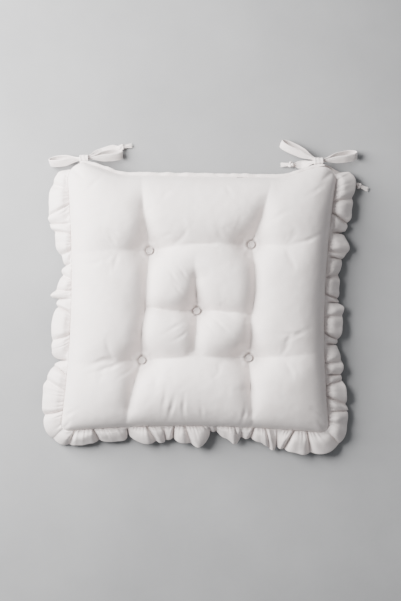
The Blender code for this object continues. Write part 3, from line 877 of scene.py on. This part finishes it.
# Wrinkles in the top cover: plan points in millimetres, then the wrinkle's width and depth.
WRINKLES = [
    ([(-48, 47), (-38, 34), (-29, 21)], 3.8, 1.5),
    ([(-34, 51), (-23, 38), (-13, 23)], 3.2, 1.3),
    ([(-39, 25), (-31, 14), (-21, 3)], 3.5, 1.1),
    ([(5, -25), (14, -39), (25, -53)], 3.2, 1.5),
    ([(13, -22), (30, -36), (48, -53)], 3.8, 1.6),
    ([(24, -17), (40, -22), (58, -32)], 4.1, 1.0),
    ([(-17, -31), (-34, -40), (-53, -52)], 4.1, 1.2),
    ([(-11, -41), (-24, -53), (-40, -62)], 3.5, 1.1),
    ([(-168, -101), (-138, -88), (-119, -86)], 4.6, 1.8),
    ([(-161, -109), (-125, -98), (-101, -87)], 4.1, 2.3),
    ([(-120, -116), (-104, -106), (-90, -97)], 3.8, 1.3),
    ([(-35, -139), (-40, -158), (-46, -178)], 4.3, 2.2),
    ([(-21, -137), (-23, -156), (-21, -175)], 4.1, 2.0),
    ([(-47, -124), (-50, -146), (-53, -165)], 4.6, 1.3),
    ([(68, -152), (66, -168), (62, -183)], 3.8, 1.8),
    ([(2, -150), (4, -165), (5, -178)], 4.1, 0.9),
    ([(-56, 141), (-49, 151), (-38, 160)], 5.4, 0.9),
    ([(36, 166), (42, 158), (48, 148)], 4.6, 0.9),
    ([(138, 80), (160, 86), (181, 97)], 4.3, 1.5),
    ([(122, -63), (144, -51), (164, -41)], 4.9, 1.2),
    ([(110, -51), (134, -50), (157, -52)], 4.3, 0.9),
    ([(98, 108), (118, 122), (141, 131)], 5.4, 1.0),
    ([(-201, -175), (-190, -168), (-176, -160)], 4.1, 1.5),
    ([(190, -178), (180, -170), (165, -160)], 4.1, 1.4),
    ([(-141, 180), (-153, 168), (-165, 155)], 4.9, 1.2),
    ([(183, 168), (171, 158), (156, 150)], 4.6, 1.1),
    ([(-130, 60), (-148, 52), (-170, 50)], 4.9, 1.0),
    ([(-110, 86), (-122, 96), (-138, 101)], 4.9, 0.9),
    ([(-62, 86), (-46, 93), (-30, 95)], 4.3, 0.9),
    ([(50, 92), (38, 101), (22, 106)], 4.6, 0.9),
]


def stroke(x, y, points, width, depth):
    """A wrinkle's height at a plan point: a groove between two low folds, fading at its ends."""
    for place, values in zip((x, y), zip(*points)):
        if not min(values) - 3 * width < place < max(values) + 3 * width:
            return 0.0
    last = len(points) - 1
    shares = [(px, py, math.sin(math.pi * (0.06 + 0.88 * k / last))) for k, (px, py) in enumerate(points)]
    away, ends = along_valley(x, y, shares)
    far = (away / width) ** 2
    return 0.8 * depth * ends * (0.8 * math.exp(-far * 0.40) * min(far, 1) - math.exp(-far * 1.3))


# In millimetres: how deep a valley's bottom folds in, for the narrow ones and the wide rows, and
# how quickly that fades; then the ring that stands up round each button, and the groove inside it.
NARROW_VALLEY = 12
FOLD_DEEP, FOLD_SHALLOW, FOLD_FADE = 4.4, 1.6, 1.8
RING_HEIGHT, RING_AT, RING_WIDTH = 2.3, 9.2, 3.6
GROOVE_DEPTH, GROOVE_AT, GROOVE_WIDTH = 1.2, 6.2, 1.3
PUCKERS, PUCKER_HEIGHT, PUCKER_AT, PUCKER_WIDTH = 8, 0.42, 11, 7
LUMP_HEIGHT, RIPPLE_HEIGHT, GATHER_HEIGHT = 0.8, 0.30, 1.1


def bell(value, at, width):
    """1 where value is at, falling off smoothly on both sides."""
    return math.exp(-(((value - at) / width) ** 2))


def cover_relief(x, y, share):
    """What the stitches, tufts and filling add to the simulated top cover, in millimetres."""
    relief = 0.0
    for points, width in VALLEYS:
        away, depth = along_valley(x, y, points)
        if away < 14:
            deep = FOLD_DEEP if width < NARROW_VALLEY else FOLD_SHALLOW
            relief -= deep * depth * math.exp(-away / FOLD_FADE)
    for points, width, depth in WRINKLES:
        relief += stroke(x, y, points, width, depth)
    for tuft in TUFTS.values():
        dx, dy = x - tuft.x / MM, y - tuft.y / MM
        away = math.hypot(dx, dy)
        if away < 40:
            turn = math.atan2(dy, dx)
            wander = noise.noise(Vector((turn, away * 0.03, tuft.x * 50)))
            pucker = PUCKER_HEIGHT * math.cos(turn * PUCKERS + 3 * wander)
            relief += pucker * bell(away, PUCKER_AT, PUCKER_WIDTH)
            relief += RING_HEIGHT * bell(away, RING_AT, RING_WIDTH)
            relief -= GROOVE_DEPTH * bell(away, GROOVE_AT, GROOVE_WIDTH)
    relief += LUMP_HEIGHT * noise.noise(Vector((x * 0.024, y * 0.024, 3.3)))
    relief += RIPPLE_HEIGHT * noise.noise(Vector((x * 0.09, y * 0.09, 8.8)))
    gather = noise.noise(Vector((x * 0.16, y * 0.16, 1.1)))
    relief += GATHER_HEIGHT * gather * math.exp(-share * 22)
    return relief * min(share * 16 + 0.35, 1)


CROWN_SPARE = 0.0015  # the most that the cloth may stand above the CAD model


def make_cushion():
    """Both panels as one closed body, joined along the seam."""
    top = make_top()
    bottom = mesh_object("bottom_panel", grid_points(bottom_height), [f[::-1] for f in GRID_FACES])
    shape = bmesh.new()
    shape.from_mesh(top.data)
    shape.from_mesh(bottom.data)
    bmesh.ops.remove_doubles(shape, verts=shape.verts, dist=0.00001)
    for panel in (top, bottom):
        bpy.data.objects.remove(panel)
    rough = link(bpy.data.objects.new("cushion_rough", mesh_from(shape, "cushion_rough")))
    rough.modifiers.new("smooth", "SUBSURF").levels = 1
    graph = bpy.context.evaluated_depsgraph_get()
    smooth = bpy.data.meshes.new_from_object(rough.evaluated_get(graph))
    bpy.data.objects.remove(rough)
    for vertex in smooth.vertices:
        place = vertex.co - PAD_SHIFT
        if place.z > SEAM_Z + 0.0002:
            inside = (place.z - SEAM_Z) / (CROWN_Z - SEAM_Z)
            vertex.co.z += cover_relief(place.x / MM, place.y / MM, max(inside, 0)) * MM
            vertex.co.z = min(vertex.co.z, CROWN_Z + CROWN_SPARE)
    smooth.name = "cushion"
    smooth.shade_smooth()
    return dress(link(bpy.data.objects.new("cushion", smooth)), COVER)


cushion = make_cushion()
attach(cushion, "pad")
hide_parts("cover_top", "cover_bottom", "fibre_filling")


LIP_HALF_WIDTH, LIP_HALF_THICK = 0.0026, 0.0009
LIP_END = 0.90  # the share of the half seam that the lip covers


def make_back_seam():
    """The back seam's pressed lip, and the stitches that close it."""
    sides = 10
    points, line = [], []
    steps = 260
    for k in range(steps + 1):
        u = LIP_END * (2 * k / steps - 1)
        x, y = in_plan(u, 1)
        wave = noise.noise(Vector((u * 14, 3.1, 0)))
        size = 0.3 + 0.7 * min((1 - abs(u) / LIP_END) * 12, 1)
        ripple = noise.noise(Vector((u * 38, 7.7, 0)))
        line.append(at_pad(x, y + 0.0021 + 0.0007 * wave + 0.0006 * ripple, SEAM_Z + 0.0016 * wave))
        wide, thick = LIP_HALF_WIDTH * (1 + 0.25 * wave) * size, LIP_HALF_THICK * size
        for angle in turns(sides):
            points.append(line[-1] + Vector((0, math.cos(angle) * wide, math.sin(angle) * thick)))
    faces = net(steps + 1, sides, closed=True, flipped=True)
    faces.append(tuple(range(sides)))
    faces.append(tuple(steps * sides + s for s in reversed(range(sides))))
    lip = mesh_object("back_seam_lip", points, faces)
    lip.data.shade_smooth()
    dress(lip, COVER)
    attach(lip, "pad")
    row = [p + Vector((0, LIP_HALF_WIDTH, 0.0002)) for p in line[60:200]]
    stitch_rows("closing_stitches", [row[k : k + 20] for k in range(0, len(row) - 20, 19)], lip)


make_back_seam()


# ---- covered buttons
# A covered button's outline as shares of its radius and height: the dished middle, the rim, and
# the cloth turned under.
BUTTON_PROFILE = [
    (0.00, 0.93), (0.24, 0.93), (0.46, 0.935), (0.60, 0.95), (0.70, 1.02), (0.78, 1.12), (0.86, 1.13),
    (0.93, 1.02), (0.98, 0.80), (1.00, 0.50), (0.985, 0.22), (0.93, 0.06), (0.80, 0.0), (0.62, 0.02),
]
BUTTON_SIZE = 0.94  # how much of the CAD skin's radius the cloth takes
PLEATS = 12


def make_button(name):
    """A covered button: cloth drawn over a low dome with a rim, pleated where it turns under."""
    low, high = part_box(f"button_skin_{name}")
    centre = (low + high) / 2
    radius, tall = (high.x - low.x) / 2 * BUTTON_SIZE, high.z - low.z
    around = 48
    rings = len(BUTTON_PROFILE) - 1
    points = [Vector((centre.x, centre.y, low.z + BUTTON_PROFILE[0][1] * tall))]
    for r, h in BUTTON_PROFILE[1:]:
        for angle in turns(around):
            fullness = max(r - 0.8, 0) * 5 * (1 if h < 0.6 else 0.2)
            out = radius * r * (1 + 0.018 * math.cos(angle * PLEATS) * fullness)
            x, y = centre.x + math.cos(angle) * out, centre.y + math.sin(angle) * out
            points.append(Vector((x, y, low.z + h * tall)))
    points.append(Vector((centre.x, centre.y, low.z + 0.03 * tall)))
    faces = net(rings, around, closed=True, flipped=True, first=1)
    last = 1 + (rings - 1) * around
    for k in range(around):
        n = (k + 1) % around
        faces += [(0, 1 + k, 1 + n), (last + n, last + k, len(points) - 1)]
    button = mesh_object(f"covered_button_{name}", points, faces)
    button.data.shade_smooth()
    smoothed(button)
    # The button's darker cloth is painted shade, not a different fabric.
    dress(button, BUTTON_CLOTH_PAINTED_SHADE)
    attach(button, "pad")
    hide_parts(f"button_skin_{name}")


for tuft_name in TUFT_NAMES:
    make_button(tuft_name)


# ---- ruffle
RUFFLE_WIDTH = 0.039  # folded double, seam to free edge
RUFFLE_THICK = 0.0013
RUFFLE_STEP = 0.0015
RUFFLE_ROWS = 14
GATHERED = 1.45  # the lines of points to each step of seam, because the free edge is that much longer
HUMP_SPARE = 0.004
FOOT_Z, LEAST_Z = 0.0022, 0.0014  # where the free edge lies in a valley, and the lowest of any point
ARCH_MOST = 0.0085
PLEAT_PITCH, PLEAT_HEIGHT = 0.0088, 0.00136
HOLLOW = 0.0024  # how far the strip sinks just outside the seam
# The scallops that the gathered strip falls into, side by side from the back left corner. Each
# has its length, the height of its hump, how its sides bulge over the valleys, how far it leans,
# its reach as (share of its length, mm), and its creases as (share, depth in mm).
LEFT_SCALLOPS = [
    (82, 7, 9, 3, [(0, 5), (0.18, 17), (0.45, 31), (0.75, 34), (1, 30)], [(0.34, 3), (0.7, 2)]),
    (63, 8, 10, 3, [(0, 33), (0.2, 31), (0.5, 23), (0.8, 12), (1, 5)], [(0.3, 3.5), (0.62, 3)]),
    (53, 8, 5, 2, [(0, 8), (0.3, 16), (0.52, 21), (0.8, 32), (0.92, 29), (1, 22)], [(0.36, 4), (0.66, 3)]),
    (95, 9, 11, 3, [(0, 20), (0.2, 23), (0.45, 29), (0.75, 26), (0.92, 18), (1, 4)], [(0.24, 4.5), (0.6, 3)]),
    (105, 8, 10, -2, [(0, 5), (0.2, 23), (0.45, 34), (0.6, 33), (1, 25)], [(0.22, 4), (0.4, 2.5), (0.74, 4)]),
]
FRONT_SCALLOPS = [
    (96, 7, 9, 4, [(0, 24), (0.12, 25), (0.5, 22), (0.85, 21), (0.95, 17), (1, 5)], [(0.18, 3), (0.5, 5)]),
    (56, 9, 8, 3, [(0, 4), (0.2, 17), (0.45, 27), (0.75, 26), (1, 23)], [(0.62, 4)]),
    (68, 10, 9, 4, [(0, 22), (0.25, 22), (0.45, 27), (0.62, 33), (0.85, 17), (1, 6)],
     [(0.28, 5), (0.52, 3.5)]),
    (48, 8, 3, 1, [(0, 8), (0.28, 11), (0.48, 18), (0.7, 26), (0.88, 25), (1, 16)], [(0.26, 3), (0.86, 2)]),
    (54, 9, 4, 1, [(0, 16), (0.3, 19), (0.52, 22), (0.76, 33), (0.92, 34), (1, 28)], [(0.32, 4), (0.74, 3)]),
    (74, 10, 10, 2, [(0, 25), (0.3, 33), (0.55, 36), (0.8, 32), (1, 28)], [(0.28, 4.5), (0.6, 5)]),
]
RIGHT_SCALLOPS = [
    (28, 6, 4, -2, [(0, 28), (0.4, 31), (0.8, 30), (1, 24)], [(0.5, 2)]),
    (56, 9, 9, -3, [(0, 26), (0.15, 32), (0.55, 31), (0.85, 24), (1, 7)], [(0.34, 4), (0.7, 3)]),
    (46, 9, 8, -3, [(0, 14), (0.14, 23), (0.42, 29), (0.78, 20), (1, 5)], [(0.5, 3.5)]),
    (63, 10, 10, -3, [(0, 8), (0.15, 19), (0.45, 28), (0.75, 30), (0.92, 20), (1, 8)], [(0.3, 4), (0.62, 3)]),
    (69, 8, 10, -3, [(0, 16), (0.12, 22), (0.5, 22), (0.88, 23), (1, 12)], [(0.26, 4), (0.58, 4)]),
    (36, 10, 7, -3, [(0, 16), (0.2, 24), (0.48, 34), (0.76, 24), (1, 14)], [(0.4, 3)]),
    (89, 8, 10, 3, [(0, 14), (0.12, 25), (0.35, 30), (0.7, 31), (0.88, 25), (1, 5)],
     [(0.28, 4.5), (0.56, 3)]),
]
SCALLOPS = (LEFT_SCALLOPS, FRONT_SCALLOPS, RIGHT_SCALLOPS)


SEAM_CORNERS = [(-1, 0.97), (-1, -1), (1, -1), (1, 0.97)]
SEAM_CUTS = 1200


def seam_route():
    """Points round the seam from the back left corner to the back right one."""
    dense = []
    for (u0, v0), (u1, v1) in zip(SEAM_CORNERS, SEAM_CORNERS[1:]):
        for k in range(SEAM_CUTS):
            dense.append(in_plan(u0 + (u1 - u0) * k / SEAM_CUTS, v0 + (v1 - v0) * k / SEAM_CUTS))
    dense.append(in_plan(*SEAM_CORNERS[-1]))
    return dense


SEAM = Route(seam_route())


def along_profile(profile, share):
    """The reach at this share of a scallop, on a curve that stays within the given points."""
    for (a, low), (b, high) in zip(profile, profile[1:]):
        if share <= b:
            t = (share - a) / (b - a)
            t = t * t * (3 - 2 * t) * 0.55 + t * 0.45
            return (low + (high - low) * t) * MM
    return profile[-1][1] * MM


def ruffle_columns():
    """Each line of points from the seam to the free edge: its place along the seam, its shift, its
    height, how far up its hump it is, its reach and its creases."""
    columns = []
    for s, scallops in enumerate(SCALLOPS):
        start, end = SEAM.far[s * SEAM_CUTS], SEAM.far[(s + 1) * SEAM_CUTS]
        scale = (end - start) / sum(scallop[0] for scallop in scallops)
        for length, hump, bulge, lean, profile, creases in scallops:
            length *= scale
            count = round(length * GATHERED / RUFFLE_STEP)
            for k in range(count):
                share = k / count
                rise = math.sin(math.pi * share) ** 0.75
                shift = -bulge * MM * math.sin(2 * math.pi * share) + lean * MM * rise
                height = (hump * MM + HUMP_SPARE) * rise
                dips = [(p, d, (share - p) * length) for p, d in creases]
                reach = along_profile(profile, share)
                columns.append((start + length * share, shift, height, rise, reach, dips))
            start += length
    return columns + [(SEAM.length, 0.0, 0.0, 0.0, 5 * MM, [])]


def crease_at(creases, f):
    """How deep the strip dips into its creases, and how far it is drawn along into them.

    A crease slants and narrows towards the seam, where it starts from one of the gathers."""
    dip, squeeze = 0.0, 0.0
    for place, depth, away in creases:
        slant = 5.0 * MM * math.sin(place * 37 + depth * 5) * (1 - f)
        width = (1.5 + 1.9 * f) * MM
        ratio = (away - slant) / width
        near = math.exp(-ratio * ratio)
        dip = max(dip, 2.6 * depth * MM * near)
        squeeze -= 0.5 * depth * MM * ratio * near
    return dip * math.sin(math.pi * min(0.12 + f * 0.62, 1)) ** 0.8, squeeze * f


def make_ruffle():
    """The gathered strip, and its free edge's length laid out straight."""
    columns = ruffle_columns()
    points = []
    run, before = 0.0, None
    for root, shift, hump, rise, reach, creases in columns:
        edge_dip, edge_draw = crease_at(creases, 1)
        edge = Vector((root + shift + edge_draw, max(hump - edge_dip, 0)))
        if before:
            run += (edge - before).length
        before = edge
        reach += 1.8 * MM * noise.noise(Vector((root * 95, 9.0, 0.0))) - edge_dip * 0.35
        foot = FOOT_Z + hump
        chord = math.hypot(reach, SEAM_Z - foot)
        spare = max(RUFFLE_WIDTH - chord, 0)
        arch = min(math.sqrt(3 / 8 * spare * chord), ARCH_MOST) * min(reach / 0.028, 1)
        arch *= 0.4 + 0.6 * rise
        gather = noise.noise(Vector((run * 130, 0.3, 5.1)))
        longer = 0.5 + 0.5 * noise.noise(Vector((run * 60, 7.7, 1.3)))
        hollow = HOLLOW * (0.5 + noise.noise(Vector((run * 22, 4.0, 7.0)))) * min(reach / 0.02, 1)
        for r in range(RUFFLE_ROWS + 1):
            f = r / RUFFLE_ROWS
            dip, draw = crease_at(creases, f)
            place = root + shift * f**0.8 + draw
            base = SEAM.at(place)
            out = SEAM.outward(place)
            z = SEAM_Z + (foot - SEAM_Z) * f**1.15 + arch * math.sin(math.pi * f**0.9)
            pleat = PLEAT_HEIGHT * math.sin(2 * math.pi * run / PLEAT_PITCH + 4.5 * gather)
            z += pleat * math.exp(-f * (6.0 - 4.8 * longer)) * min(f * 12, 1) - dip
            z -= hollow * bell(f, 0.2, 0.14)
            z += 3.4 * MM * noise.noise(Vector((place * 34, f * 1.8, 2.2))) * f
            z += 1.5 * MM * noise.noise(Vector((place * 80, f * 3.0, 6.4))) * f
            spread = reach * (f - 0.06 * math.sin(math.pi * f))
            x, y = base.x + out.x * spread, base.y + out.y * spread
            points.append(at_pad(x, y, max(z, LEAST_Z)))
    strip = mesh_object("ruffle", points, net(len(columns), RUFFLE_ROWS + 1, flipped=True))
    strip.data.shade_smooth()
    thickened(strip, RUFFLE_THICK)
    smoothed(strip)
    return dress(strip, RUFFLE), run


ruffle, strip_length = make_ruffle()
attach(ruffle, "pad")
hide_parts("ruffle_left", "ruffle_front", "ruffle_right")


# ---- floor and light
def make_floor():
    corners = [(-4, -4, 0), (4, -4, 0), (4, 4, 0), (-4, 4, 0)]
    floor = mesh_object("floor", corners, [(0, 1, 2, 3)])
    material, shader = new_material("pale_floor", (0.40, 0.403, 0.408), 0.85)
    place = add_node(material, "ShaderNodeTexCoord").outputs["Object"]
    cloud = noise_at(material, place, 3.5, 6.0, 0.6)
    grain = noise_at(material, place, 160, 3.0)
    colour = ramp(material, cloud, 0.3, 0.7, (0.235, 0.237, 0.243), (0.295, 0.297, 0.303))
    material.node_tree.links.new(colour, shader.inputs["Base Color"])
    bumped(material, shader, grain, 0.15, 0.0005)
    dress(floor, material)


def soft_light(name, place, size, watts, colour):
    data = bpy.data.lights.new(name, "AREA")
    data.shape = "DISK"
    data.size = size
    data.energy = watts
    data.color = colour
    lamp = link(bpy.data.objects.new(name, data))
    lamp.location = place
    lamp.rotation_euler = (-Vector(place)).to_track_quat("-Z", "Y").to_euler()


make_floor()
soft_light("window", (-0.80, 0.41, 0.66), 0.98, 74, (1.0, 0.99, 0.975))
studio = bpy.data.worlds.new("studio")
studio.use_nodes = True
set_inputs(studio.node_tree.nodes["Background"], {"Color": (0.95, 0.97, 1.0, 1), "Strength": 0.39})
SCENE.world = studio
